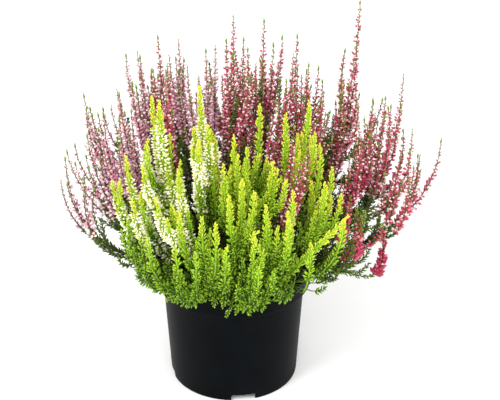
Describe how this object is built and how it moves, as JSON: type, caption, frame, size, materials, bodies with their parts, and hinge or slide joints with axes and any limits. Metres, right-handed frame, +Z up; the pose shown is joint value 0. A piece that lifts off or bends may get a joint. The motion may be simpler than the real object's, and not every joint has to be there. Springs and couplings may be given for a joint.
{
  "type": "potted heather",
  "caption": "Young heathers with lilac, rose and lime shoots growing together in a round black nursery pot with a stepped rim.",
  "frame": {"origin": "centre of the pot's underside, on the surface that the pot stands on", "axes": "+X to the right seen from the front, +Y away from the viewer, +Z up"},
  "size_m": [0.3346, 0.2581, 0.3316],
  "materials": {
    "black_plastic": "satin black, moulded",
    "peat": "crumbly dark peat",
    "heather_leaf": "fine matt green scale leaves",
    "lilac_buds": "pale lilac-pink buds",
    "rose_buds": "deep rose-red buds",
    "lime_shoots": "bright yellow-green scale leaves"
  },
  "bodies": {
    "root": {"pot": "black_plastic", "soil": "peat", "lilac_01_stem": "heather_leaf", "lilac_01_spikes": "lilac_buds", "lilac_02_stem": "heather_leaf", "lilac_02_spikes": "lilac_buds", "lilac_03_stem": "heather_leaf", "lilac_03_spikes": "lilac_buds", "lilac_04_stem": "heather_leaf", "lilac_04_spikes": "lilac_buds", "lilac_05_stem": "heather_leaf", "lilac_05_spikes": "lilac_buds", "lilac_06_stem": "heather_leaf", "lilac_06_spikes": "lilac_buds", "lilac_07_stem": "heather_leaf", "lilac_07_spikes": "lilac_buds", "lilac_08_stem": "heather_leaf", "lilac_08_spikes": "lilac_buds", "rose_01_stem": "heather_leaf", "rose_01_spikes": "rose_buds", "rose_02_stem": "heather_leaf", "rose_02_spikes": "rose_buds", "rose_03_stem": "heather_leaf", "rose_03_spikes": "rose_buds", "rose_04_stem": "heather_leaf", "rose_04_spikes": "rose_buds", "rose_05_stem": "heather_leaf", "rose_05_spikes": "rose_buds", "rose_06_stem": "heather_leaf", "rose_06_spikes": "rose_buds", "rose_07_stem": "heather_leaf", "rose_07_spikes": "rose_buds", "rose_08_stem": "heather_leaf", "rose_08_spikes": "rose_buds", "rose_09_stem": "heather_leaf", "rose_09_spikes": "rose_buds", "rose_10_stem": "heather_leaf", "rose_10_spikes": "rose_buds", "rose_11_stem": "heather_leaf", "rose_11_spikes": "rose_buds", "rose_12_stem": "heather_leaf", "rose_12_spikes": "rose_buds", "rose_13_stem": "heather_leaf", "rose_13_spikes": "rose_buds", "lime_01": "lime_shoots", "lime_02": "lime_shoots", "lime_03": "lime_shoots", "lime_04": "lime_shoots", "lime_05": "lime_shoots", "lime_06": "lime_shoots", "lime_07": "lime_shoots", "lime_08": "lime_shoots", "lime_09": "lime_shoots", "lime_10": "lime_shoots", "lime_11": "lime_shoots", "lime_12": "lime_shoots", "lime_13": "lime_shoots", "lime_14": "lime_shoots", "lime_15": "lime_shoots", "lime_16": "lime_shoots"}
  },
  "joints": []
}
